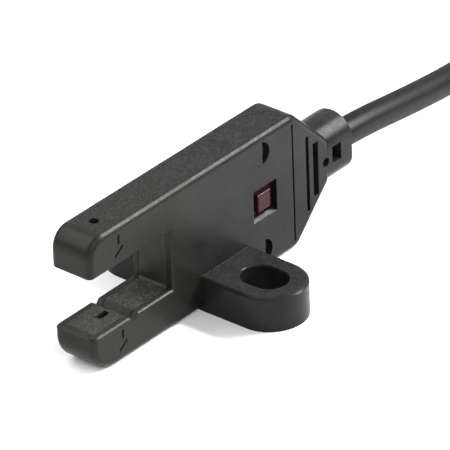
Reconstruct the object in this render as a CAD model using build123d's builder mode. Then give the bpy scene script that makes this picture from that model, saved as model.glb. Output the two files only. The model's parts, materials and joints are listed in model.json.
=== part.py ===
from build123d import *
import math
import os

# Fork sensor with a moulded T-shaped case, two mounting ears and a fixed cable.
# Millimetres, +Z up. x = 0 is the ears' centre line, y = 0 the middle of the body's thickness and
# z = 0 the mounting face. The fork opens towards -X, the cable leaves towards +X and the
# indicator window faces -Y.

# Case, outside
body_width = 4.6
tip_x = -18.0
seam_x = 9.7
lower_arm_height = 3.9
slot_gap = 6.0
upper_arm_height = 3.8
slot_end_x = -7.15
edge_radius = 0.65
arm_top_radius = 2.0
arm_bottom_radius = 3.0
slot_edge_chamfer = 0.15

# Case, walls
side_wall = 0.65
shell_wall = 0.7
tip_wall = 0.8
cavity_corner_radius = 1.5

# Ears with their mounting slots
ear_half_width = 3.5
ear_thickness = 3.42
ear_end_y = 10.95
ear_edge_chamfer = 0.2
mount_slot_y = 6.8
mount_slot_width = 3.4
mount_slot_length = 4.6
mount_slot_chamfer = 0.12

# Optical axis, and the small gate hole above it
optical_axis_x = -14.08
pin_hole_x = -14.6
pin_hole_radius = 0.47
pin_hole_depth = 0.5

# Index marks of the optical axis, one on the near side of each arm
index_upper_inset = 0.85
index_lower_inset = 0.65
index_stem_length = 0.95
index_branch_length = 1.32
index_branch_drop = 1.65
index_branch_angle = 37
index_width = 0.24
index_depth = 0.16

# Indicator window
window_x = 5.8
window_width = 3.25
window_height = 3.3
lens_flange = 4.0
lens_flange_thickness = 0.5
lens_width = 1.75
lens_height = 1.8
lens_recess = 0.1
lens_edge_radius = 0.15

# Slit cover that lines the fork slot
fit_clearance = 0.05
cover_thickness = 1.0
cover_back_thickness = 0.8
cover_corner_radius = 0.3
slit_length = 1.35
slit_width = 0.65
groove_front_x = -13.1
groove_root_x = -12.3
groove_back_x = -11.85
groove_depth = 0.565

# Rear cap
seam_gap = 0.22
seam_depth = 0.35
seam_inset = 0.8
taper_inset = 0.6
taper_length = 4.5
taper_angle = 45
taper_corner_radius = 1.5
block_end_radius = 0.32
neck_length = 3.7
neck_height = 5.26
neck_corner_radius = 1.65
neck_edge_chamfer = 0.3
cap_wall = 1.0
cap_side_wall = 1.15
cap_end_wall = 1.4
spigot_length = 0.8
spigot_wall = 0.45
flex_slot_depth = 0.7
front_flex_slot_inset = 1.54
front_flex_slot_width = 0.42
front_flex_slot_length = 7.75
rear_flex_slot_inset = 2.69
rear_flex_slot_width = 0.73
rear_flex_slot_length = 5.5
key_hole_inset = 0.35
key_hole_radius = 0.45
neck_window_inset = 1.2
neck_window_width = 1.27
neck_window_height = 1.7
neck_window_raise = 0.3

# Snap tongues of the rear cap
snap_x = 5.45
snap_inset = 1.85
snap_hole_radius = 1.15
snap_lug_radius = 0.95
snap_lug_height = 0.25
tongue_height = 2.0
tongue_nose = 1.25

# Cable and what holds it
cable_diameter = 2.7
cable_overlap = 0.1
bore_clearance = 0.05
ring_length = 1.1
ring_reach = 0.4
ring_wall = 0.35
ring_clearance = 0.05
core_diameter = 0.8
core_spread = 0.46
core_fan_inset = 1.3
core_spread_inset = 4.1
core_end_inset = 5.8

# Circuit board and its parts
board_thickness = 0.8
board_front_x = -6.0
board_clearance = 0.1
led_size = (1.6, 0.8)
led_height = 0.5
led_lens_size = (0.9, 0.6)
led_lens_height = 0.25
chip_leg_width = 0.3
chip_leg_height = 0.35
chip_leg_reach = 0.6
chip_leg_pitch = 0.95

# Emitter and receiver
element_length = 3.0
element_width = 2.9
element_clearance = 0.2
element_dome_radius = 0.7
element_dome_height = 0.5
lead_thickness = 0.2
lead_overlap = 0.8
lead_space = 0.12
lead_inset = 0.2

# Put-away hank, its tie and the stripped cable end
hank_columns = 3
hank_rows = 3
hank_fold_radius = 8.1
hank_run = 21.0
hank_slack = 0.1
hank_chamfer = 0.7
entry_run = 6.5
entry_stub = 10.0
tail_length = 9.5
tail_sink = 0.3
tie_width = 3.2
tie_thickness = 0.4
tie_slack = 0.15
tie_offset = 5.0
tie_crown_width = 2.4
tie_twist_radius = 0.65
tie_twist_length = 6.0
stripped_length = 16.0
lead_clearance = 0.12
lead_rise = 0.3
tip_length = 4.0
tip_diameter = 0.45

# Worked out from the sizes above
half_width = body_width / 2
upper_arm_z = lower_arm_height + slot_gap
body_height = upper_arm_z + upper_arm_height
mid_z = body_height / 2
inner_half_width = half_width - side_wall
inner_top = body_height - shell_wall
arm_inner_x = tip_x + tip_wall
taper_slope = math.tan(math.radians(taper_angle))
taper_start_x = seam_x + taper_inset
block_end_x = taper_start_x + taper_length
taper_end_z = taper_length * taper_slope
neck_end_x = block_end_x + neck_length
cap_cavity_end_x = block_end_x - cap_end_wall
spigot_start_x = seam_x - spigot_length
spigot_half_width = inner_half_width - fit_clearance
board_back_y = spigot_half_width - spigot_wall
board_face_y = board_back_y - board_thickness
board_rear_x = spigot_start_x - board_clearance
ring_end_x = block_end_x + ring_reach
ring_start_x = ring_end_x - ring_length
cable_start_x = ring_start_x - cable_overlap
cover_back_x = slot_end_x + cover_back_thickness
cable_radius = cable_diameter / 2
core_radius = core_diameter / 2
near = 0.01

os.makedirs("parts", exist_ok=True)


def fill_radius(before, corner, after):
    """The largest tidy bend of a cord at a corner: 0.45 of the shorter run over tan(half turn)."""
    run_in = Vector(*corner) - Vector(*before)
    run_out = Vector(*after) - Vector(*corner)
    turn = math.radians(run_in.get_angle(run_out))
    return 0.45 * min(run_in.length, run_out.length) / math.tan(turn / 2)


def bend_radii(points):
    """One bend radius for each corner of a cord's route."""
    return [fill_radius(*points[i - 1:i + 2]) for i in range(1, len(points) - 1)]


# Case: one moulding with the fork, the ears and the windows
with BuildPart() as sensor_case:
    with BuildSketch(Plane.XZ) as case_side:
        with BuildLine():
            Polyline(
                (seam_x, 0),
                (tip_x, 0),
                (tip_x, lower_arm_height),
                (slot_end_x, lower_arm_height),
                (slot_end_x, upper_arm_z),
                (tip_x, upper_arm_z),
                (tip_x, body_height),
                (seam_x, body_height),
                close=True,
            )
        make_face()
        tip_corners = case_side.vertices().group_by(Axis.X)[0].sort_by(Axis.Y)
        fillet(tip_corners[-1], radius=arm_top_radius)
        tip_corners = case_side.vertices().group_by(Axis.X)[0].sort_by(Axis.Y)
        fillet(tip_corners[0], radius=arm_bottom_radius)
    extrude(amount=half_width, both=True)

    outline = (
        sensor_case.edges()
        .filter_by(lambda e: abs(abs(e.center().Y) - half_width) < near)
        .filter_by(lambda e: e.center().X < seam_x - near)
    )
    slot_edges = outline.filter_by(
        lambda e: lower_arm_height - near < e.center().Z < upper_arm_z + near
    )
    fillet(outline - slot_edges, radius=edge_radius)
    slot_faces = sensor_case.faces().filter_by(
        lambda f: lower_arm_height - near < f.center().Z < upper_arm_z + near
        and f.center().X < slot_end_x + near
        and abs(f.center().Y) < near
        and tip_x + near < f.center().X
    )
    rim_edges = slot_faces.edges().filter_by(
        lambda e: abs(e.center().Y) > near or e.center().X < tip_x + near
    )
    chamfer(rim_edges, length=slot_edge_chamfer)

    with BuildSketch(Plane.XY) as ear_plan:
        SlotOverall(2 * ear_end_y, 2 * ear_half_width, rotation=90)
    extrude(amount=ear_thickness)
    ear_rims = (
        sensor_case.edges()
        .filter_by(lambda e: abs(e.center().Z - ear_thickness) < near)
        .filter_by(lambda e: abs(e.center().Y) > half_width + near)
    )
    chamfer(ear_rims, length=ear_edge_chamfer)
    with BuildSketch(Plane.XY) as mount_slots:
        with Locations((0, mount_slot_y), (0, -mount_slot_y)):
            SlotOverall(mount_slot_length, mount_slot_width, rotation=90)
    extrude(amount=ear_thickness, mode=Mode.SUBTRACT)
    mount_rims = (
        sensor_case.edges()
        .filter_by(lambda e: abs(e.center().Z - ear_thickness) < near)
        .filter_by(lambda e: abs(e.center().X) < mount_slot_width / 2 + near)
        .filter_by(lambda e: abs(e.center().Y) > half_width + near)
    )
    chamfer(mount_rims, length=mount_slot_chamfer)

    with BuildSketch(Plane.XZ) as case_hollow:
        with BuildLine():
            Polyline(
                (seam_x, shell_wall),
                (arm_inner_x, shell_wall),
                (arm_inner_x, lower_arm_height),
                (slot_end_x, lower_arm_height),
                (slot_end_x, upper_arm_z),
                (arm_inner_x, upper_arm_z),
                (arm_inner_x, inner_top),
                (seam_x, inner_top),
                close=True,
            )
        make_face()
        front_corners = case_hollow.vertices().group_by(Axis.X)[0].sort_by(Axis.Y)
        fillet((front_corners[0], front_corners[-1]), radius=cavity_corner_radius)
    extrude(amount=inner_half_width, both=True, mode=Mode.SUBTRACT)

    with BuildSketch(Plane.XZ.offset(inner_half_width)) as near_window:
        with Locations((window_x, mid_z)):
            Rectangle(window_width, window_height)
    extrude(amount=side_wall, mode=Mode.SUBTRACT)
    with BuildSketch(Plane.XZ) as snap_holes:
        with Locations((snap_x, snap_inset), (snap_x, body_height - snap_inset)):
            Circle(snap_hole_radius)
    extrude(amount=half_width, both=True, mode=Mode.SUBTRACT)
    with BuildSketch(Plane.XY.offset(body_height)) as pin_hole:
        with Locations((pin_hole_x, 0)):
            Circle(pin_hole_radius)
    extrude(amount=-pin_hole_depth, mode=Mode.SUBTRACT)

    index_tops = (body_height - index_upper_inset, lower_arm_height - index_lower_inset)
    with BuildSketch(Plane.XZ.offset(half_width)) as index_marks:
        for index_top in index_tops:
            with Locations((optical_axis_x, index_top - index_stem_length / 2)):
                Rectangle(index_width, index_stem_length)
            with Locations((optical_axis_x, index_top - index_branch_drop)):
                Rectangle(index_branch_length, index_width, rotation=index_branch_angle)
    extrude(amount=-index_depth, mode=Mode.SUBTRACT)

    with BuildSketch(Plane.XZ) as light_trap:
        with BuildLine():
            Polyline(
                (groove_front_x, lower_arm_height),
                (groove_root_x, lower_arm_height - groove_depth),
                (groove_back_x, lower_arm_height),
                close=True,
            )
        make_face()
    extrude(amount=half_width, both=True, mode=Mode.SUBTRACT)
sensor_case.part.label = "sensor_case"
export_step(sensor_case.part, "parts/sensor_case.step")

# Slit cover: a U-shaped liner of the slot with the two optical slits
with BuildPart() as slit_cover:
    with BuildSketch(Plane.XZ) as cover_side:
        cover_tip_x = arm_inner_x + fit_clearance
        with BuildLine():
            Polyline(
                (cover_tip_x, lower_arm_height),
                (slot_end_x, lower_arm_height),
                (slot_end_x, upper_arm_z),
                (cover_tip_x, upper_arm_z),
                (cover_tip_x, upper_arm_z + cover_thickness),
                (cover_back_x, upper_arm_z + cover_thickness),
                (cover_back_x, lower_arm_height - cover_thickness),
                (cover_tip_x, lower_arm_height - cover_thickness),
                close=True,
            )
        make_face()
        inner_corners = cover_side.vertices().filter_by(
            lambda v: abs(v.X - slot_end_x) < near
        )
        fillet(inner_corners, radius=cover_corner_radius)
        with BuildLine():
            Polyline(
                (groove_front_x, lower_arm_height),
                (groove_root_x, lower_arm_height - groove_depth),
                (groove_back_x, lower_arm_height),
                close=True,
            )
        make_face(mode=Mode.SUBTRACT)
    extrude(amount=inner_half_width - fit_clearance, both=True)
    with BuildSketch(Plane.XY) as slits:
        with Locations((optical_axis_x, 0)):
            Rectangle(slit_length, slit_width)
    extrude(amount=body_height, mode=Mode.SUBTRACT)
slit_cover.part.label = "slit_cover"
export_step(slit_cover.part, "parts/slit_cover.step")

# Rear cap: taper, cable neck, and two pairs of snap tongues that reach into the case
with BuildPart() as rear_cap:
    with BuildSketch(Plane.XZ) as cap_side:
        with BuildLine():
            Polyline(
                (spigot_start_x, 0),
                (taper_start_x, 0),
                (block_end_x, taper_end_z),
                (block_end_x, body_height - taper_end_z),
                (taper_start_x, body_height),
                (spigot_start_x, body_height),
                close=True,
            )
        make_face()
        taper_corners = cap_side.vertices().filter_by(lambda v: abs(v.X - taper_start_x) < near)
        fillet(taper_corners, radius=taper_corner_radius)
    extrude(amount=half_width, both=True)
    cap_outline = (
        rear_cap.edges()
        .filter_by(lambda e: abs(abs(e.center().Y) - half_width) < near)
        .filter_by(lambda e: spigot_start_x + near < e.center().X < block_end_x - near)
    )
    fillet(cap_outline, radius=edge_radius)
    block_corners = (
        rear_cap.edges()
        .filter_by(Axis.Z)
        .filter_by(lambda e: abs(e.center().X - block_end_x) < near)
    )
    fillet(block_corners, radius=block_end_radius)
    with BuildSketch(Plane.YZ.offset(spigot_start_x)) as block_front:
        with Locations((0, mid_z)):
            Rectangle(body_width, body_height)
    extrude(amount=spigot_length, mode=Mode.SUBTRACT)

    with BuildSketch(Plane.YZ.offset(cap_cavity_end_x)) as neck_section:
        with Locations((0, mid_z)):
            RectangleRounded(body_width, neck_height, neck_corner_radius)
    extrude(amount=neck_end_x - cap_cavity_end_x)
    neck_rim = rear_cap.faces().sort_by(Axis.X)[-1].edges()
    chamfer(neck_rim, length=neck_edge_chamfer)

    spigot_height = inner_top - shell_wall - 2 * fit_clearance
    tongue_start_x = snap_x - tongue_nose
    with BuildSketch(Plane.YZ.offset(spigot_start_x)) as spigot:
        with Locations((0, mid_z)):
            Rectangle(2 * spigot_half_width, spigot_height)
    extrude(amount=spigot_length)

    cavity_low_z = shell_wall + fit_clearance + spigot_wall
    cavity_slope_x = taper_start_x + cap_wall * (math.sqrt(1 + taper_slope**2)) / taper_slope
    with BuildSketch(Plane.XZ) as cap_hollow:
        with BuildLine():
            Polyline(
                (spigot_start_x, cavity_low_z),
                (cavity_slope_x + cavity_low_z / taper_slope, cavity_low_z),
                (cap_cavity_end_x, (cap_cavity_end_x - cavity_slope_x) * taper_slope),
                (cap_cavity_end_x, body_height - (cap_cavity_end_x - cavity_slope_x) * taper_slope),
                (cavity_slope_x + cavity_low_z / taper_slope, body_height - cavity_low_z),
                (spigot_start_x, body_height - cavity_low_z),
                close=True,
            )
        make_face()
    extrude(amount=half_width - cap_side_wall, both=True, mode=Mode.SUBTRACT)

    ring_pocket_radius = cable_radius + ring_wall + ring_clearance
    with BuildSketch(Plane.YZ.offset(cap_cavity_end_x)) as ring_pocket:
        with Locations((0, mid_z)):
            Circle(ring_pocket_radius)
    extrude(amount=ring_end_x - cap_cavity_end_x, mode=Mode.SUBTRACT)
    with BuildSketch(Plane.YZ.offset(ring_end_x)) as cable_bore:
        with Locations((0, mid_z)):
            Circle(cable_radius + bore_clearance)
    extrude(amount=neck_end_x - ring_end_x, mode=Mode.SUBTRACT)

    for side in (1, -1):
        outside = Plane.XZ.offset(side * half_width)
        with BuildSketch(outside) as seam_groove:
            with Locations((seam_x + seam_gap / 2, mid_z)):
                Rectangle(seam_gap, body_height - 2 * seam_inset)
        extrude(amount=-side * seam_depth, mode=Mode.SUBTRACT)
        with BuildSketch(outside) as flex_slots:
            with Locations((taper_start_x + front_flex_slot_inset, mid_z)):
                Rectangle(front_flex_slot_width, front_flex_slot_length)
            with Locations((taper_start_x + rear_flex_slot_inset, mid_z)):
                Rectangle(rear_flex_slot_width, rear_flex_slot_length)
        extrude(amount=-side * flex_slot_depth, mode=Mode.SUBTRACT)
        with BuildSketch(outside) as neck_holes:
            with Locations((block_end_x - key_hole_inset, mid_z)):
                Circle(key_hole_radius)
            with Locations((block_end_x + neck_window_inset, mid_z + neck_window_raise)):
                Rectangle(neck_window_width, neck_window_height)
        extrude(amount=-side * half_width, mode=Mode.SUBTRACT)

    tongue_middle_x = (tongue_start_x + spigot_start_x) / 2
    tongue_low_z = snap_inset
    tongue_high_z = body_height - snap_inset
    for side in (1, -1):
        tongue_face = Plane.XZ.offset(side * spigot_half_width)
        with BuildSketch(tongue_face) as tongues:
            with Locations((tongue_middle_x, tongue_low_z), (tongue_middle_x, tongue_high_z)):
                Rectangle(spigot_start_x - tongue_start_x, tongue_height)
        extrude(amount=-side * spigot_wall)
        with BuildSketch(tongue_face) as lugs:
            with Locations((snap_x, tongue_low_z), (snap_x, tongue_high_z)):
                Circle(snap_lug_radius)
        extrude(amount=side * snap_lug_height)
rear_cap.part.label = "rear_cap"
export_step(rear_cap.part, "parts/rear_cap.step")

# Indicator lens: a clear red block on a flange behind the window
with BuildPart() as indicator_lens:
    with BuildSketch(Plane.XZ.offset(inner_half_width)) as flange:
        with Locations((window_x, mid_z)):
            Rectangle(lens_flange, lens_flange)
    extrude(amount=-lens_flange_thickness)
    with BuildSketch(Plane.XZ.offset(inner_half_width)) as block:
        with Locations((window_x, mid_z)):
            Rectangle(lens_width, lens_height)
    extrude(amount=side_wall - lens_recess)
    lens_front = indicator_lens.faces().sort_by(Axis.Y)[0]
    fillet(lens_front.edges(), radius=lens_edge_radius)
indicator_lens.part.label = "indicator_lens"
export_step(indicator_lens.part, "parts/indicator_lens.step")

# Circuit board, standing on edge between the tongues
board_low_z = shell_wall + board_clearance
board_high_z = inner_top - board_clearance
board_plane = Plane.XZ.offset(-board_face_y)
with BuildPart() as circuit_board:
    with BuildSketch(board_plane) as board_outline:
        with Locations(((board_front_x + board_rear_x) / 2, mid_z)):
            Rectangle(board_rear_x - board_front_x, board_high_z - board_low_z)
    extrude(amount=-board_thickness)
circuit_board.part.label = "circuit_board"
export_step(circuit_board.part, "parts/circuit_board.step")

# Indicator light on the board, behind the lens
with BuildPart() as indicator_led:
    with BuildSketch(board_plane) as led_base:
        with Locations((window_x, mid_z)):
            Rectangle(*led_size)
    extrude(amount=led_height)
    with BuildSketch(board_plane.offset(led_height)) as led_lens:
        with Locations((window_x, mid_z)):
            Rectangle(*led_lens_size)
    extrude(amount=led_lens_height)
indicator_led.part.label = "indicator_led"
export_step(indicator_led.part, "parts/indicator_led.step")

# Parts soldered to the board: two columns, each spread evenly over the board's height
board_columns = {
    0.3: [
        ("output_transistor", 2.9, 1.3, 0.95),
        ("amplifier_chip", 3.9, 4.4, 1.1),
        ("protection_diode", 2.6, 1.5, 0.9),
    ],
    -4.2: [
        ("resistor_1", 1.6, 0.8, 0.45),
        ("resistor_2", 1.6, 0.8, 0.45),
        ("resistor_3", 1.6, 0.8, 0.45),
        ("capacitor_1", 1.6, 0.8, 0.8),
        ("capacitor_2", 1.6, 0.8, 0.8),
    ],
}
parts_with_legs = ("output_transistor", "amplifier_chip")
for column_x, column_parts in board_columns.items():
    # Each part takes up its own height and the reach of its legs on both sides.
    taken = [
        height + 2 * chip_leg_reach * (name in parts_with_legs)
        for name, length, height, thickness in column_parts
    ]
    gap = (board_high_z - board_low_z - sum(taken)) / (len(taken) + 1)
    for row, (name, length, height, thickness) in enumerate(column_parts):
        part_z = board_low_z + gap * (row + 1) + sum(taken[:row]) + taken[row] / 2
        with BuildPart() as board_part:
            with BuildSketch(board_plane):
                with Locations((column_x, part_z)):
                    Rectangle(length, height)
            extrude(amount=thickness)
            if name in parts_with_legs:
                legs = int(length // chip_leg_pitch)
                with BuildSketch(board_plane):
                    with Locations((column_x, part_z)):
                        with GridLocations(chip_leg_pitch, height + chip_leg_reach, legs, 2):
                            Rectangle(chip_leg_width, chip_leg_reach)
                extrude(amount=chip_leg_height)
        board_part.part.label = name
        export_step(board_part.part, f"parts/{name}.step")

# Emitter in the lower arm and receiver in the upper arm, one above the other on the optical axis
emitter_leads = ("emitter_lead_1", "emitter_lead_2")
receiver_leads = ("receiver_lead_1", "receiver_lead_2", "receiver_lead_3")
elements = [
    ("emitter_led", emitter_leads, shell_wall, 1, lower_arm_height),
    ("receiver_chip", receiver_leads, inner_top, -1, upper_arm_height),
]
dome_room = shell_wall + cover_thickness + element_dome_height + element_clearance
for name, lead_names, seat_z, up, arm_height in elements:
    element_height = arm_height - dome_room
    with BuildPart() as element:
        with BuildSketch(Plane.XY.offset(seat_z)):
            with Locations((optical_axis_x, 0)):
                Rectangle(element_length, element_width)
        extrude(amount=up * element_height)
        with BuildSketch(Plane.XY.offset(seat_z + up * element_height)):
            with Locations((optical_axis_x, 0)):
                Circle(element_dome_radius)
        extrude(amount=up * element_dome_height)
    element.part.label = name
    export_step(element.part, f"parts/{name}.step")

    # The leads share the element's height, side by side.
    lead_start_x = optical_axis_x + element_length / 2
    lead_end_x = board_front_x + lead_overlap
    lead_pitch = (element_height - 2 * lead_inset + lead_space) / len(lead_names)
    lead_width = lead_pitch - lead_space
    for row, lead_name in enumerate(lead_names):
        lead_z = seat_z + up * (lead_inset + lead_width / 2 + row * lead_pitch)
        with BuildPart() as element_lead:
            with BuildSketch(board_plane):
                with Locations(((lead_start_x + lead_end_x) / 2, lead_z)):
                    Rectangle(lead_end_x - lead_start_x, lead_width)
            extrude(amount=lead_thickness)
        element_lead.part.label = lead_name
        export_step(element_lead.part, f"parts/{lead_name}.step")

# Crimp ring that keeps the cable from pulling out of the neck
with BuildPart() as crimp_ring:
    with BuildSketch(Plane.YZ.offset(ring_start_x)) as ring_section:
        with Locations((0, mid_z)):
            Circle(cable_radius + ring_wall)
            Circle(cable_radius, mode=Mode.SUBTRACT)
    extrude(amount=ring_end_x - ring_start_x)
crimp_ring.part.label = "crimp_ring"
export_step(crimp_ring.part, "parts/crimp_ring.step")

# Four cores from the end of the jacket to the board: side, level and height above the middle
cores = {
    "brown": (-1, 1, 3.75),
    "black": (1, 1, 1.55),
    "blue": (-1, -1, -3.75),
    "white": (1, -1, -1.55),
}
for core, (side, level, board_rise) in cores.items():
    cable_y = side * core_spread
    cable_z = mid_z + level * core_spread
    board_y = board_face_y - core_radius
    board_z = mid_z + board_rise
    core_route = [
        (cable_start_x, cable_y, cable_z),
        (cable_start_x - core_fan_inset, cable_y, cable_z),
        (cable_start_x - core_spread_inset, board_y, board_z),
        (cable_start_x - core_end_inset, board_y, board_z),
    ]
    with BuildPart() as core_wire:
        with BuildLine() as core_line:
            Polyline(*core_route)
        with BuildSketch(Plane(core_line.line @ 0, z_dir=core_line.line % 0)):
            Circle(core_radius)
        sweep(path=core_line.line, transition=Transition.RIGHT)
    core_wire.part.label = f"core_{core}"
    export_step(core_wire.part, f"parts/core_{core}.step")

# Free cable: its jacket from the crimp ring to the hank, lying down on the way
cable_route = [
    (cable_start_x, 0, mid_z),
    (20.5, 0, mid_z),
    (30.0, 0.1, 5.55),
    (38.5, 0.85, 4.3),
    (49.0, 4.2, cable_radius),
]
lying = Vector(*cable_route[-1]) - Vector(*cable_route[-2])
entry = Vector(lying.X, lying.Y, 0).normalized()
entry_start = Vector(*cable_route[-1]) + entry * entry_run
cable_route.append(tuple(entry_start))
cable_bends = bend_radii(cable_route)
print("cable bend radii", [round(radius, 1) for radius in cable_bends])
with BuildPart() as cable:
    with BuildLine() as cable_line:
        FilletPolyline(*cable_route, radius=cable_bends)
    with BuildSketch(Plane(cable_line.line @ 0, z_dir=cable_line.line % 0)):
        Circle(cable_radius)
    sweep(path=cable_line.line)
cable_length = sum(edge.length for edge in cable_line.edges())
print("cable length", round(cable_length, 2), "volume", round(cable.part.volume, 2))
print("section times length", round(cable_length * math.pi * cable_radius**2, 2))
cable.part.label = "cable"
export_step(cable.part, "parts/cable.step")

# Hank of the put-away length: the outer shape of its turns, with the cable's way in and its tail
outer_fold_radius = hank_fold_radius + (hank_columns - 1) * cable_diameter
middle_fold_radius = (hank_fold_radius + outer_fold_radius) / 2
outward = Vector(-entry.Y, entry.X, 0)
fold_centre = entry_start + entry * entry_stub - outward * outer_fold_radius
hank_x = fold_centre.X + hank_run / 2
hank_y = fold_centre.Y
hank_inside = 2 * (hank_fold_radius - cable_radius - hank_slack)
hank_outside = 2 * (outer_fold_radius + cable_radius + hank_slack)
hank_height = hank_rows * cable_diameter
bundle_y = hank_y - middle_fold_radius
tie_x = hank_x + tie_offset
tail_start_x = hank_x + tail_length
tail_z = hank_height + cable_radius - tail_sink
with BuildPart() as cable_hank:
    with BuildSketch(Plane.XY) as hank_plan:
        with Locations((hank_x, hank_y)):
            SlotCenterToCenter(hank_run, hank_outside)
            SlotCenterToCenter(hank_run, hank_inside, mode=Mode.SUBTRACT)
    extrude(amount=hank_height)
    hank_faces = cable_hank.faces().sort_by(Axis.Z)
    hank_rims = hank_faces[0].outer_wire().edges() + hank_faces[-1].outer_wire().edges()
    chamfer(hank_rims, length=hank_chamfer)
    with BuildSketch(Plane.YZ.offset(tie_x)) as tie_bed:
        with Locations((bundle_y, 0)):
            Rectangle(hank_outside, 2 * tie_thickness)
    extrude(amount=tie_width / 2, both=True, mode=Mode.SUBTRACT)
    with BuildSketch(Plane(entry_start, z_dir=entry)):
        Circle(cable_radius)
    extrude(amount=entry_stub)
    with BuildSketch(Plane.YZ.offset(tail_start_x)):
        with Locations((bundle_y, tail_z)):
            Circle(cable_radius)
    extrude(amount=-tail_length)
cable_hank.part.label = "cable_hank"
export_step(cable_hank.part, "parts/cable_hank.step")

# Twist tie round one side of the hank and the tail on it
bundle_width = hank_columns * cable_diameter + 2 * hank_slack
tie_half_width = bundle_width / 2 + tie_slack
tie_shoulder_z = hank_height + tie_slack
tie_crown_z = tail_z + cable_radius + tie_slack
with BuildPart() as cable_tie:
    with BuildSketch(Plane((tie_x, bundle_y, 0), x_dir=(0, 1, 0), z_dir=(1, 0, 0))):
        with BuildLine() as tie_inside:
            Polyline(
                (-tie_half_width, tie_thickness),
                (-tie_half_width, tie_shoulder_z),
                (-tie_crown_width / 2, tie_crown_z),
                (tie_crown_width / 2, tie_crown_z),
                (tie_half_width, tie_shoulder_z),
                (tie_half_width, tie_thickness),
                close=True,
            )
        make_face()
        offset(amount=tie_thickness, kind=Kind.INTERSECTION)
        make_face(tie_inside.edges(), mode=Mode.SUBTRACT)
    extrude(amount=tie_width / 2, both=True)
    with BuildSketch(Plane.YZ.offset(tie_x)) as tie_twist:
        with Locations((bundle_y, tie_crown_z + tie_twist_radius)):
            Circle(tie_twist_radius)
    extrude(amount=tie_twist_length)
cable_tie.part.label = "cable_tie"
export_step(cable_tie.part, "parts/cable_tie.step")

# Stripped end: the four cores fan out over the hank, each with a bare tip
lead_places = {
    "brown": (-1, -1, -0.8),
    "blue": (1, -1, 0.9),
    "white": (1, 1, 2.3),
    "black": (-1, 1, 4.0),
}
for core, (level, side, fan) in lead_places.items():
    lead_y = bundle_y + side * core_spread
    lead_z = tail_z + level * core_spread
    lead_start = Vector(hank_x - lead_clearance, lead_y, lead_z)
    lead_end_z = hank_height + core_radius + lead_rise
    lead_end = Vector(hank_x - stripped_length, bundle_y + fan, lead_end_z)
    lead_run = lead_end - lead_start
    with BuildPart() as lead:
        with BuildSketch(Plane(lead_start, z_dir=lead_run)):
            Circle(core_radius)
        extrude(amount=lead_run.length)
    lead.part.label = f"lead_{core}"
    export_step(lead.part, f"parts/lead_{core}.step")

    with BuildPart() as bare_tip:
        with BuildSketch(Plane(lead_end, z_dir=lead_run)):
            Circle(tip_diameter / 2)
        extrude(amount=tip_length)
    bare_tip.part.label = f"tip_{core}"
    export_step(bare_tip.part, f"parts/tip_{core}.step")
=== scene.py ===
import json
import math

import bmesh
import bpy
from mathutils import Matrix, Vector


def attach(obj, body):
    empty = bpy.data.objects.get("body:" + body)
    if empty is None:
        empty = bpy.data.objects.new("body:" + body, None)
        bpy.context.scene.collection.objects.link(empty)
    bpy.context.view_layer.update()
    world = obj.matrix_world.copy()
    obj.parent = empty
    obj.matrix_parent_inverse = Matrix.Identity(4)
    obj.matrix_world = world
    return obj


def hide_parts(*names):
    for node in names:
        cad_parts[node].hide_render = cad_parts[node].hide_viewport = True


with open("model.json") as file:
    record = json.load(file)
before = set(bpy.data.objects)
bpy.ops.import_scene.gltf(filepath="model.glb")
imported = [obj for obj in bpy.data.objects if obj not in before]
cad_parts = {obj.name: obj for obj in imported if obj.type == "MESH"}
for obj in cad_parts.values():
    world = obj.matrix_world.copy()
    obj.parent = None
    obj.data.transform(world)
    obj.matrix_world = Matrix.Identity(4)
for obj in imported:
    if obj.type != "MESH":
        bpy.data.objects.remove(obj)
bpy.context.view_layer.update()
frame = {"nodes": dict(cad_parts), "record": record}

# The scene is in metres, and the part's sizes are in millimetres until something is made of them.
# x = 0 is the ears' centre line, y = 0 the middle of the body's thickness, z = 0 the mounting face.
# The cable leaves towards +X and the indicator window faces -Y.

MM = 0.001
nodes = frame["nodes"]

CASE_HEIGHT = 13.7
BODY_Z = CASE_HEIGHT / 2
BODY_MIDDLE = Vector((0, 0, BODY_Z * MM))

# Camera: one calibrated view of the sensor from above the fork's near side. The centre is where the
# body's middle falls in the picture.
FRAME_PX = 450
SENSOR_WIDTH = 36.0
CENTRE_PX = (203.99, 220.17)
PX_PER_MM = 11.24
VIEW_DISTANCE = 573.4 * MM
CAMERA_BACK = Vector((-0.65076, -0.56512, 0.50711))
CAMERA_RIGHT = Vector((0.63982, -0.76775, -0.03450))
CAMERA_UP = Vector((0.40883, 0.30201, 0.86119))
CLIP_NEAR_SHARE = 0.1
CLIP_FAR_SHARE = 20

# Floor and light: the directions point from the body to each light and along its longer side, the
# distances and sizes are in metres and the powers in watts
FLOOR_REACH = 3.0
WORLD_STRENGTH = 0.68
LIGHTS = {
    "edge_light": ((0.65, -0.4, 0.64), (0, -1, -0.5), 0.6, (0.42, 0.06), 7.0),
    "front_light": ((-0.3, -0.7, 0.65), (1, 0, 0), 0.8, (0.6, 0.4), 2.6),
    "back_light": ((-0.35, 0.57, 0.74), (0.74, 0, 0.35), 0.8, (0.9, 0.35), 5.0),
}


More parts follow.
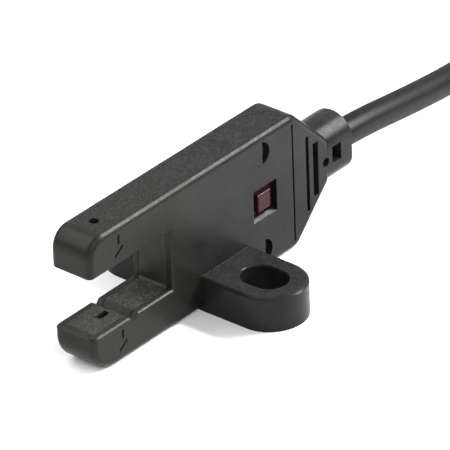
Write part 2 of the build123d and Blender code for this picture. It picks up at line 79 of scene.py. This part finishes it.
def make_camera():
    """The camera stands where the calibration puts it and looks at the frame's centre."""
    data = bpy.data.cameras.new("camera")
    data.sensor_width = SENSOR_WIDTH
    data.lens = PX_PER_MM / MM * VIEW_DISTANCE / FRAME_PX * SENSOR_WIDTH
    data.clip_start = VIEW_DISTANCE * CLIP_NEAR_SHARE
    data.clip_end = VIEW_DISTANCE * CLIP_FAR_SHARE
    place = BODY_MIDDLE + CAMERA_BACK * VIEW_DISTANCE
    aside = CAMERA_RIGHT * ((FRAME_PX / 2 - CENTRE_PX[0]) / PX_PER_MM * MM)
    down = CAMERA_UP * ((FRAME_PX / 2 - CENTRE_PX[1]) / PX_PER_MM * MM)
    back = (place - (BODY_MIDDLE + aside - down)).normalized()
    right = (CAMERA_RIGHT - back * CAMERA_RIGHT.dot(back)).normalized()
    up = back.cross(right)
    turn = Matrix((right, up, back)).transposed()
    camera = bpy.data.objects.new("camera", data)
    camera.matrix_world = Matrix.Translation(place) @ turn.to_4x4()
    bpy.context.scene.collection.objects.link(camera)
    bpy.context.scene.camera = camera


def make_floor(material):
    """A plain pale floor under the sensor."""
    mesh = bpy.data.meshes.new("floor")
    corners = [(x * FLOOR_REACH, y * FLOOR_REACH, 0) for x, y in ((-1, -1), (1, -1), (1, 1), (-1, 1))]
    mesh.from_pydata(corners, [], [(0, 1, 2, 3)])
    floor = bpy.data.objects.new("floor", mesh)
    floor.data.materials.append(material)
    bpy.context.scene.collection.objects.link(floor)


def area_light(name, direction, along, distance, size, power):
    """A soft light that shines on the body from a direction, its longer side along a vector."""
    data = bpy.data.lights.new(name, "AREA")
    data.shape = "RECTANGLE"
    data.size, data.size_y = size
    data.energy = power
    back = Vector(direction).normalized()
    side = Vector(along)
    side = (side - back * side.dot(back)).normalized()
    turn = Matrix((side, back.cross(side), back)).transposed()
    light = bpy.data.objects.new(name, data)
    light.matrix_world = Matrix.Translation(BODY_MIDDLE + back * distance) @ turn.to_4x4()
    bpy.context.scene.collection.objects.link(light)


def make_light():
    """Soft studio light: a pale world, a strip that rims the near edges, and two broad lights."""
    world = bpy.data.worlds.new("studio")
    world.use_nodes = True
    background = world.node_tree.nodes["Background"]
    background.inputs["Color"].default_value = (1, 1, 1, 1)
    background.inputs["Strength"].default_value = WORLD_STRENGTH
    bpy.context.scene.world = world
    for name, (direction, along, distance, size, power) in LIGHTS.items():
        area_light(name, direction, along, distance, size, power)


# Materials: sizes of the noise, depths of the bumps and places along the fork are in millimetres
PLASTIC_TONE_MM = 3.0
PLASTIC_GLOSS_MM = 0.6
PLASTIC_EDGE_MM = 0.06
EDGE_SAMPLES = 6
TINT_FROM_X = -9
TINT_TO_X = -2
TINT_SHARE = 0.8
# Painted highlight: the size of the glint specks, the part of the noise that shows them, and how
# steeply a face must look up to get them
GLINT_MM = 0.16
GLINT_RANGE = (0.42, 0.66)
GLINT_SLOPE = (0.9, 1.0)
RESIN_TONE_MM = 0.8
RESIN_GLOSS_MM = 0.3
RESIN_FLOW_MM = 0.5
RESIN_PALER = 1.15
RESIN_ROUGH_RANGE = 0.08
RESIN_IOR = 1.5
VINYL_TONE_MM = 2.0
VINYL_GLOSS_MM = 0.7
VINYL_BUMP_MM = 0.25
METAL_TONE_MM = 0.4
METAL_GLOSS_MM = 0.2
METAL_SCRATCH_MM = 0.12
METAL_STRETCH = (0.2, 1, 1)
METAL_PALER = 1.1
METAL_ROUGH_RANGE = 0.15
FINE_BUMP_DEPTH = 0.004
FLOOR_TONE_MM = 30.0
FLOOR_COLOURS = ((0.93, 0.93, 0.93), (0.95, 0.95, 0.95))
FLOOR_ROUGHNESS = 0.8


def paler(colour, factor):
    """A colour with each channel raised by a factor, up to white."""
    return tuple(min(channel * factor, 1) for channel in colour)


class Nodes:
    """A small helper that adds shader nodes to one material and links them."""

    def __init__(self, name):
        self.material = bpy.data.materials.new(name)
        self.material.use_nodes = True
        self.tree = self.material.node_tree
        self.shader = self.tree.nodes["Principled BSDF"]
        self.texture = self.add("ShaderNodeTexCoord")
        self.coords = self.texture.outputs["Object"]

    def add(self, kind, **settings):
        """A new node of one kind with its settings."""
        node = self.tree.nodes.new(kind)
        for key, value in settings.items():
            setattr(node, key, value)
        return node

    def link(self, source, node, socket):
        """Connect an output to a node's input."""
        self.tree.links.new(source, node.inputs[socket])

    def noise(self, size_mm, detail=2.0, roughness=0.5, stretch=(1, 1, 1)):
        """Noise with features of about size_mm."""
        mapping = self.add("ShaderNodeMapping")
        self.link(self.coords, mapping, "Vector")
        mapping.inputs["Scale"].default_value = [s / (size_mm * MM) for s in stretch]
        noise = self.add("ShaderNodeTexNoise")
        self.link(mapping.outputs["Vector"], noise, "Vector")
        noise.inputs["Scale"].default_value = 1.0
        noise.inputs["Detail"].default_value = detail
        noise.inputs["Roughness"].default_value = roughness
        return noise.outputs["Fac"]

    def remap(self, value, low, high, from_low=0.3, from_high=0.7):
        """Stretch a value's range to the one from low to high."""
        node = self.add("ShaderNodeMapRange")
        self.link(value, node, "Value")
        node.inputs["From Min"].default_value = from_low
        node.inputs["From Max"].default_value = from_high
        node.inputs["To Min"].default_value = low
        node.inputs["To Max"].default_value = high
        return node.outputs["Result"]

    def blend(self, factor, first, second):
        """Mix two colours, each a plain colour or another node's output."""
        node = self.add("ShaderNodeMix", data_type="RGBA")
        self.link(factor, node, "Factor")
        for socket, colour in (("A", first), ("B", second)):
            if isinstance(colour, tuple):
                node.inputs[socket].default_value = (*colour, 1)
            else:
                self.link(colour, node, socket)
        return node.outputs["Result"]

    def part_of(self, source, axis):
        """One coordinate of a vector output."""
        node = self.add("ShaderNodeSeparateXYZ")
        self.link(source, node, "Vector")
        return node.outputs[axis]

    def bump(self, height, depth_mm, normal=None):
        """A normal with a relief of some depth, on top of another normal."""
        node = self.add("ShaderNodeBump")
        self.link(height, node, "Height")
        node.inputs["Distance"].default_value = depth_mm * MM
        node.inputs["Strength"].default_value = 1.0
        if normal is not None:
            self.link(normal, node, "Normal")
        return node.outputs["Normal"]

    def rounded(self, radius_mm):
        """A normal that rounds the edges by a radius."""
        node = self.add("ShaderNodeBevel", samples=EDGE_SAMPLES)
        node.inputs["Radius"].default_value = radius_mm * MM
        return node.outputs["Normal"]

    def set(self, **values):
        """Constant values on the shader's own sockets."""
        for socket, value in values.items():
            self.shader.inputs[socket.replace("_", " ")].default_value = value


def moulded_plastic(
    name,
    dark,
    light,
    rough,
    grain_mm=0.09,
    grain_depth=0.006,
    gleam=0.25,
    tint=None,
    painted_glint=None,
):
    """Satin moulded plastic: fine spark-eroded grain, slow tone changes and softened edges.

    tint is the colour it turns to towards the fork's tip. The last argument is the colour of a
    painted highlight: lighter specks that stand in for the glint of light from above on the grain of
    faces that look up.
    """
    n = Nodes(name)
    colour = n.blend(n.remap(n.noise(PLASTIC_TONE_MM, detail=3.0), 0, 1), dark, light)
    if tint:
        along = n.part_of(n.coords, "X")
        near_tip = n.remap(along, TINT_SHARE, 0, TINT_FROM_X * MM, TINT_TO_X * MM)
        colour = n.blend(near_tip, colour, tint)
    # Painted highlight: faces that look up are lightened with specks, standing in for the glint of
    # light from above on the grain.
    if painted_glint:
        facing_up = n.remap(n.part_of(n.texture.outputs["Normal"], "Z"), 0, 1, *GLINT_SLOPE)
        glint_mask = n.add("ShaderNodeMath", operation="MULTIPLY")
        n.link(facing_up, glint_mask, 0)
        n.link(n.remap(n.noise(GLINT_MM, detail=3.0), 0, 1, *GLINT_RANGE), glint_mask, 1)
        colour = n.blend(glint_mask.outputs["Value"], colour, painted_glint)
    n.link(colour, n.shader, "Base Color")
    gloss = n.noise(PLASTIC_GLOSS_MM, detail=4.0)
    n.link(n.remap(gloss, *rough), n.shader, "Roughness")
    grain = n.noise(grain_mm, detail=3.0, roughness=0.6)
    n.link(n.bump(grain, grain_depth, normal=n.rounded(PLASTIC_EDGE_MM)), n.shader, "Normal")
    n.set(Specular_IOR_Level=gleam)
    return n.material


def clear_resin(name, colour, rough, transmission, gleam=0.5):
    """Clear or tinted resin with a faint flow texture."""
    n = Nodes(name)
    tone = n.remap(n.noise(RESIN_TONE_MM), 0, 1)
    n.link(n.blend(tone, colour, paler(colour, RESIN_PALER)), n.shader, "Base Color")
    n.link(n.remap(n.noise(RESIN_GLOSS_MM), rough, rough + RESIN_ROUGH_RANGE), n.shader, "Roughness")
    n.link(n.bump(n.noise(RESIN_FLOW_MM), FINE_BUMP_DEPTH), n.shader, "Normal")
    n.set(Transmission_Weight=transmission, IOR=RESIN_IOR, Specular_IOR_Level=gleam)
    return n.material


def vinyl(name, dark, light, rough=(0.34, 0.46), gleam=0.5, edge_rough=0.0):
    """Extruded vinyl: semi-gloss, slightly mottled, and by edge_rough duller where it turns away."""
    n = Nodes(name)
    tone = n.remap(n.noise(VINYL_TONE_MM, detail=3.0), 0, 1)
    n.link(n.blend(tone, dark, light), n.shader, "Base Color")
    gloss = n.remap(n.noise(VINYL_GLOSS_MM, detail=4.0), *rough)
    if edge_rough:
        facing = n.add("ShaderNodeLayerWeight").outputs["Facing"]
        duller = n.add("ShaderNodeMath", operation="MULTIPLY_ADD")
        n.link(facing, duller, 0)
        duller.inputs[1].default_value = edge_rough
        n.link(gloss, duller, 2)
        gloss = duller.outputs["Value"]
    n.link(gloss, n.shader, "Roughness")
    n.link(n.bump(n.noise(VINYL_BUMP_MM, detail=3.0), FINE_BUMP_DEPTH), n.shader, "Normal")
    n.set(Specular_IOR_Level=gleam)
    return n.material


def metal(name, colour, rough):
    """Plain metal with fine scratches."""
    n = Nodes(name)
    tone = n.remap(n.noise(METAL_TONE_MM, detail=3.0), 0, 1)
    n.link(n.blend(tone, colour, paler(colour, METAL_PALER)), n.shader, "Base Color")
    gloss = n.remap(n.noise(METAL_GLOSS_MM, detail=3.0), rough, rough + METAL_ROUGH_RANGE)
    n.link(gloss, n.shader, "Roughness")
    scratches = n.noise(METAL_SCRATCH_MM, stretch=METAL_STRETCH)
    n.link(n.bump(scratches, FINE_BUMP_DEPTH), n.shader, "Normal")
    n.set(Metallic=1.0)
    return n.material


def floor_paint():
    """Pale matt floor with a very faint mottle."""
    n = Nodes("floor_paint")
    tone = n.remap(n.noise(FLOOR_TONE_MM, detail=3.0), 0, 1)
    n.link(n.blend(tone, *FLOOR_COLOURS), n.shader, "Base Color")
    n.set(Roughness=FLOOR_ROUGHNESS)
    return n.material


materials = {
    "case_black": moulded_plastic(
        "case_plastic",
        (0.007, 0.007, 0.007),
        (0.014, 0.014, 0.014),
        (0.27, 0.36),
        gleam=0.12,
        tint=(0.012, 0.0125, 0.0085),
        # painted highlight: lighter specks on the faces that look up
        painted_glint=(0.03, 0.03, 0.03),
    ),
    "cover_dark": moulded_plastic(
        "cover_resin",
        (0.010, 0.0105, 0.0075),
        (0.020, 0.021, 0.016),
        (0.36, 0.5),
        grain_mm=0.15,
        grain_depth=0.008,
        gleam=0.18,
        # painted highlight: lighter specks on the faces that look up, which also lighten the slot's
        # floor
        painted_glint=(0.055, 0.057, 0.047),
    ),
    "lens_red": clear_resin("lens_resin", (0.03, 0.006, 0.006), 0.25, 0.15, gleam=0.07),
    "board_green": moulded_plastic(
        "solder_mask", (0.01, 0.10, 0.04), (0.015, 0.13, 0.05), (0.25, 0.35), gleam=0.5
    ),
    "clear_resin": clear_resin("clear_resin", (0.8, 0.8, 0.75), 0.12, 0.6),
    "chip_black": moulded_plastic(
        "moulding_compound", (0.02, 0.02, 0.02), (0.03, 0.03, 0.03), (0.5, 0.6)
    ),
    "chip_tan": moulded_plastic(
        "fired_ceramic", (0.35, 0.24, 0.13), (0.42, 0.3, 0.17), (0.45, 0.6)
    ),
    "tinned_metal": metal("tinned_copper", (0.78, 0.76, 0.72), 0.25),
    "ring_steel": metal("dark_steel", (0.10, 0.10, 0.10), 0.35),
    "core_brown": vinyl("vinyl_brown", (0.12, 0.045, 0.02), (0.15, 0.06, 0.03)),
    "core_black": vinyl("vinyl_black", (0.015, 0.015, 0.016), (0.02, 0.02, 0.021)),
    "core_blue": vinyl("vinyl_blue", (0.02, 0.07, 0.35), (0.03, 0.09, 0.42)),
    "core_white": vinyl("vinyl_white", (0.72, 0.72, 0.70), (0.8, 0.8, 0.78)),
    "cable_black": vinyl(
        "cable_vinyl",
        (0.004, 0.004, 0.0038),
        (0.006, 0.006, 0.0055),
        (0.16, 0.24),
        gleam=0.17,
        edge_rough=0.5,
    ),
    "tie_white": vinyl("tie_vinyl", (0.62, 0.62, 0.60), (0.72, 0.72, 0.70), (0.4, 0.5)),
}


def dress_nodes():
    """Each CAD node gets the material of its slot."""
    for part in frame["record"]["subparts"]:
        mesh = nodes[part["node"]].data
        mesh.materials.clear()
        mesh.materials.append(materials[part["material_slot"]])


# Small moulded details on the case
SOFTEN_SEGMENTS = 2
SHARP_ANGLE = math.radians(25)
CASE_HALF_WIDTH = 2.3

# Snap lugs: their middle, the face that they reach, and the D-shaped caps on them, each with its
# straight edge a little behind the middle
SNAP_X = 5.45
SNAP_INSET = 1.85
LUG_FACE = 1.85
LUG_CAP_FACE = 2.285
LUG_CAP_RADIUS = 1.145
LUG_CAP_CUT = 0.18
LUG_CAP_POINTS = 28
LUG_CAP_SOFTEN = 0.015

# Indicator window and its sill
WINDOW_X = 5.8
WINDOW_WIDTH = 3.25
WINDOW_HEIGHT = 3.3
SILL_RISE = 0.3
SILL_DEPTH = 0.45
SILL_SOFTEN = 0.01

# Taper of the rear cap, and the stretch along x, half width, height and depth of its skins
TAPER_START_X = 10.3
TAPER_SKIN_X = (11.2, 13.75)
TAPER_SKIN_HALF_WIDTH = 1.6
TAPER_SKIN_RAISE = 0.015
TAPER_SKIN_DEPTH = 0.25
TAPER_SKIN_SOFTEN = 0.01

# Cable neck and its crown, an arch whose outside and inside have a half width and a height above
# its middle. CROWN_SETBACK keeps its end face from coinciding with the neck's.
NECK_END_X = 18.5
NECK_CHAMFER = 0.3
CROWN_START_X = 13.9
CROWN_SETBACK = 0.01
CROWN_END_X = NECK_END_X - CROWN_SETBACK
CROWN_MIDDLE_Z = 7.83
CROWN_OUTSIDE = (2.31, 2.05)
CROWN_INSIDE = (2.0, 1.5)
CROWN_FOOT = 0.22
CROWN_POINTS = 32
CROWN_SOFTEN = 0.02


def lofted(name, rings, soften):
    """A closed body through rings of points, with flat ends and its edges a little softened."""
    mesh = bpy.data.meshes.new(name)
    shape = bmesh.new()
    loops = [[shape.verts.new(Vector(point) * MM) for point in ring] for ring in rings]
    for first, second in zip(loops, loops[1:]):
        for i in range(len(first)):
            shape.faces.new((first[i - 1], first[i], second[i], second[i - 1]))
    shape.faces.new(loops[0])
    shape.faces.new(loops[-1])
    bmesh.ops.recalc_face_normals(shape, faces=shape.faces)
    for face in shape.faces:
        face.smooth = True
    shape.to_mesh(mesh)
    shape.free()
    mesh.set_sharp_from_angle(angle=SHARP_ANGLE)
    piece = bpy.data.objects.new(name, mesh)
    bpy.context.scene.collection.objects.link(piece)
    rounding = piece.modifiers.new("soften", "BEVEL")
    rounding.width = soften * MM
    rounding.segments = SOFTEN_SEGMENTS
    rounding.limit_method = "ANGLE"
    piece.data.materials.append(materials["case_black"])
    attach(piece, "root")


def make_lug_caps():
    """Caps that bring the snap lugs nearly flush with the case, all but the rear of each hole."""
    turn = math.acos(LUG_CAP_CUT / LUG_CAP_RADIUS)
    sweep = 2 * math.pi - 2 * turn
    angles = [turn + sweep * i / LUG_CAP_POINTS for i in range(LUG_CAP_POINTS + 1)]
    arc = [(LUG_CAP_RADIUS * math.cos(angle), LUG_CAP_RADIUS * math.sin(angle)) for angle in angles]
    for side, mirror in (("near", -1), ("far", 1)):
        for level, z in (("low", SNAP_INSET), ("high", CASE_HEIGHT - SNAP_INSET)):
            rings = [
                [(SNAP_X + across, mirror * y, z + up) for across, up in arc]
                for y in (LUG_FACE, LUG_CAP_FACE)
            ]
            lofted(f"lug_cap_{side}_{level}", rings, LUG_CAP_SOFTEN)


def make_window_sill():
    """The sloped lower edge of the indicator window."""
    left = WINDOW_X - WINDOW_WIDTH / 2
    low = BODY_Z - WINDOW_HEIGHT / 2
    front = -CASE_HALF_WIDTH
    back = front + SILL_DEPTH
    section = [(front, low), (back, low), (back, low + SILL_RISE)]
    rings = [[(x, y, z) for y, z in section] for x in (left, left + WINDOW_WIDTH)]
    lofted("window_sill", rings, SILL_SOFTEN)


def make_taper_skins():
    """Smooth skins on the taper's two sloped faces, which close the openings of its walls."""
    start, end = TAPER_SKIN_X
    outside = -TAPER_SKIN_RAISE
    inside = TAPER_SKIN_DEPTH
    corners = ((start, outside), (end, outside), (end, inside), (start, inside))
    # The faces slope at 45 degrees.
    diagonal = math.sqrt(0.5)
    low = [(x - sunk * diagonal, x - TAPER_START_X + sunk * diagonal) for x, sunk in corners]
    high = [(x, CASE_HEIGHT - z) for x, z in low]
    for level, section in (("low", low), ("high", high)):
        rings = [
            [(x, y, z) for x, z in section]
            for y in (-TAPER_SKIN_HALF_WIDTH, TAPER_SKIN_HALF_WIDTH)
        ]
        lofted(f"taper_skin_{level}", rings, TAPER_SKIN_SOFTEN)


def crown_ring(x, shrink):
    """The crown's section at one place: an arch outside, and a smaller one inside the neck."""
    ring = []
    for (half_width, height), turn in ((CROWN_OUTSIDE, 1), (CROWN_INSIDE, -1)):
        half_width, height = half_width - shrink, height - shrink
        reach = math.acos(CROWN_FOOT / height)
        for i in range(CROWN_POINTS + 1):
            angle = turn * reach * (2 * i / CROWN_POINTS - 1)
            ring.append((x, half_width * math.sin(angle), CROWN_MIDDLE_Z + height * math.cos(angle)))
    return ring


def make_neck_crown():
    """The domed top of the cable neck, which starts inside the taper."""
    ends = ((CROWN_START_X, 0), (CROWN_END_X - NECK_CHAMFER, 0), (CROWN_END_X, NECK_CHAMFER))
    lofted("neck_crown", [crown_ring(x, shrink) for x, shrink in ends], CROWN_SOFTEN)


# Cable: its sizes, and the points of its route as far as the hank
CABLE_DIAMETER = 2.7
CABLE_RADIUS = CABLE_DIAMETER / 2
CABLE_POINTS = [
    (14.0, 0, BODY_Z),
    (20.5, 0, BODY_Z),
    (30.0, 0.1, 5.55),
    (38.5, 0.85, 4.3),
    (49.0, 4.2, CABLE_RADIUS),
]
ENTRY_RUN = 6.5
ENTRY_STUB = 10.0
HANK_COLUMNS = 3
HANK_ROWS = 3
FOLD_RADIUS = 8.1
HANK_RUN = 21.0
STRIPPED_LENGTH = 16.0
LEAD_CLEARANCE = 0.12
TIP_LENGTH = 4.0
TIP_DIAMETER = 0.45
CORE_DIAMETER = 0.8
CORE_SPREAD = 0.46
CORD_PROFILE_DETAIL = 5
CORD_LENGTH_DETAIL = 6

lying = Vector(CABLE_POINTS[-1]) - Vector(CABLE_POINTS[-2])
entry = Vector((lying.x, lying.y, 0)).normalized()
outward = Vector((-entry.y, entry.x, 0))
outer_fold = FOLD_RADIUS + (HANK_COLUMNS - 1) * CABLE_DIAMETER
entry_start = Vector(CABLE_POINTS[-1]) + entry * ENTRY_RUN
fold_centre = entry_start + entry * ENTRY_STUB - outward * outer_fold
entry_angle = math.atan2(entry.y, entry.x)

# A loop of the hank is counted from 0 to 1: far run, right fold, near run, left fold. A run takes
# RUN_SHARE of the loop. The turns fill the first row inwards, the next outwards and the third
# inwards, and each change to the next place comes a little earlier in its loop than the one that
# makes room for it. The cable ends in the middle of its last near run.
RUN_SHARE = 0.2
FOLD_SHARE = 0.5 - RUN_SHARE
STEP_SHARE = 0.12
FOLD_POINTS = 8
RUN_POINTS = 3
TAIL_SINK = 0.3
HANK_PLACES = [
    # Column from the inside, row, and the loop at which the cable leaves the place
    (2, 0, 0.9),
    (1, 0, 1.9),
    (0, 0, 2.7),
    (0, 1, 3.5),
    (1, 1, 4.5),
    (2, 1, 5.3),
    (2, 2, 6.1),
    (1, 2, 7.1),
    (0, 2, 8.0),
    (0, 3, 8.25),
    (1, 3, 9.0),
]
HANK_END = 8.5 + RUN_SHARE / 2


def smooth(share):
    """A share from 0 to 1 that starts and ends gently."""
    share = min(1.0, max(0.0, share))
    return share * share * (3 - 2 * share)


def hank_point(loop):
    """The cable's place in the hank after so many loops, with the swell of its control points."""
    column, row, _ = HANK_PLACES[0]
    for before, after in zip(HANK_PLACES, HANK_PLACES[1:]):
        step = smooth((loop - before[2]) / STEP_SHARE + 0.5)
        column += (after[0] - before[0]) * step
        row += (after[1] - before[1]) * step
    radius = FOLD_RADIUS + column * CABLE_DIAMETER
    height = CABLE_RADIUS + row * CABLE_DIAMETER - TAIL_SINK * max(0.0, row - HANK_ROWS + 1)
    share = loop % 1
    half, way = divmod(share, 0.5)
    mirror = 1 if half == 0 else -1
    if way < RUN_SHARE:
        x = HANK_RUN * (way / RUN_SHARE - 0.5)
        y = radius
    else:
        # A quadratic spline runs inside its control points on a fold, so they lie further out.
        swell = 1 / (0.75 + 0.25 * math.cos(math.pi / FOLD_POINTS))
        angle = math.pi * (way - RUN_SHARE) / FOLD_SHARE
        x = HANK_RUN / 2 + radius * swell * math.sin(angle)
        y = radius * swell * math.cos(angle)
    middle = fold_centre + Vector((HANK_RUN / 2, 0, 0))
    return Vector((middle.x + mirror * x, middle.y + mirror * y, height))


def hank_points():
    """Control points of the hank's loops, from where the cable joins the left fold to its end."""
    shares = [RUN_SHARE * (i + 0.5) / RUN_POINTS for i in range(RUN_POINTS)]
    shares += [RUN_SHARE + FOLD_SHARE * (i + 0.5) / FOLD_POINTS for i in range(FOLD_POINTS)]
    turns = range(-1, math.ceil(HANK_END))
    loops = [turn + half + share for turn in turns for half in (0, 0.5) for share in shares]
    first = -entry_angle / math.pi * FOLD_SHARE
    return [hank_point(loop) for loop in loops if first < loop < HANK_END] + [hank_point(HANK_END)]


def spline(name, points, diameter, material):
    """A round cord along a quadratic spline, from points in millimetres."""
    data = bpy.data.curves.new(name, "CURVE")
    data.dimensions = "3D"
    data.bevel_depth = diameter / 2 * MM
    data.bevel_resolution = CORD_PROFILE_DETAIL
    data.resolution_u = CORD_LENGTH_DETAIL
    data.use_fill_caps = True
    line = data.splines.new("NURBS")
    line.points.add(len(points) - 1)
    for place, point in zip(line.points, points):
        place.co = (*(Vector(point) * MM), 1)
    line.order_u = 3
    line.use_endpoint_u = True
    data.materials.append(material)
    piece = bpy.data.objects.new(name, data)
    bpy.context.scene.collection.objects.link(piece)
    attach(piece, "root")
    return piece


# How each core lies in the jacket (level, side) and how far it fans out from the jacket's line
LEADS = {
    "brown": (-1, -1, -0.8),
    "blue": (1, -1, 0.9),
    "white": (1, 1, 2.3),
    "black": (-1, 1, 4.0),
}


def make_leads():
    """Four cores that fan out over the hank from the end of the jacket, each with a bare tip."""
    tail_end = hank_point(HANK_END)
    rest_z = HANK_ROWS * CABLE_DIAMETER + CORE_DIAMETER / 2
    pieces = []
    for core, (level, side, fan) in LEADS.items():
        start = tail_end + Vector((-LEAD_CLEARANCE, side * CORE_SPREAD, level * CORE_SPREAD))
        end = Vector((tail_end.x - STRIPPED_LENGTH, tail_end.y + fan, rest_z))
        reach = (end - start) / 3
        first = start + Vector((reach.x, 0, 0))
        # The last third takes up half of the fan.
        last = Vector((end.x - reach.x, end.y - 1.5 * reach.y, rest_z))
        points = [start, first, last, end]
        lead = spline(f"{core}_lead", points, CORE_DIAMETER, materials[f"core_{core}"])
        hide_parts(f"lead_{core}")
        along = (end - last).normalized()
        # The tip starts a little inside its lead.
        tip_points = [end - along * CORE_DIAMETER / 4, end + along * TIP_LENGTH]
        tip = spline(f"{core}_tip", tip_points, TIP_DIAMETER, materials["tinned_metal"])
        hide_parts(f"tip_{core}")
        pieces += [lead, tip]
    return pieces


def make_cable():
    """The free cable: out of the neck, down to the floor, folded up, with its stripped end."""
    route = [Vector(point) for point in CABLE_POINTS] + [entry_start]
    points = route + hank_points()
    cable = spline("cable_line", points, CABLE_DIAMETER, materials["cable_black"])
    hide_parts("cable", "cable_hank")
    make_leads() + [nodes["cable_tie"]]


make_camera()
make_floor(floor_paint())
make_light()
dress_nodes()
make_lug_caps()
make_window_sill()
make_taper_skins()
make_neck_crown()
make_cable()
bpy.context.scene.view_settings.view_transform = "Standard"
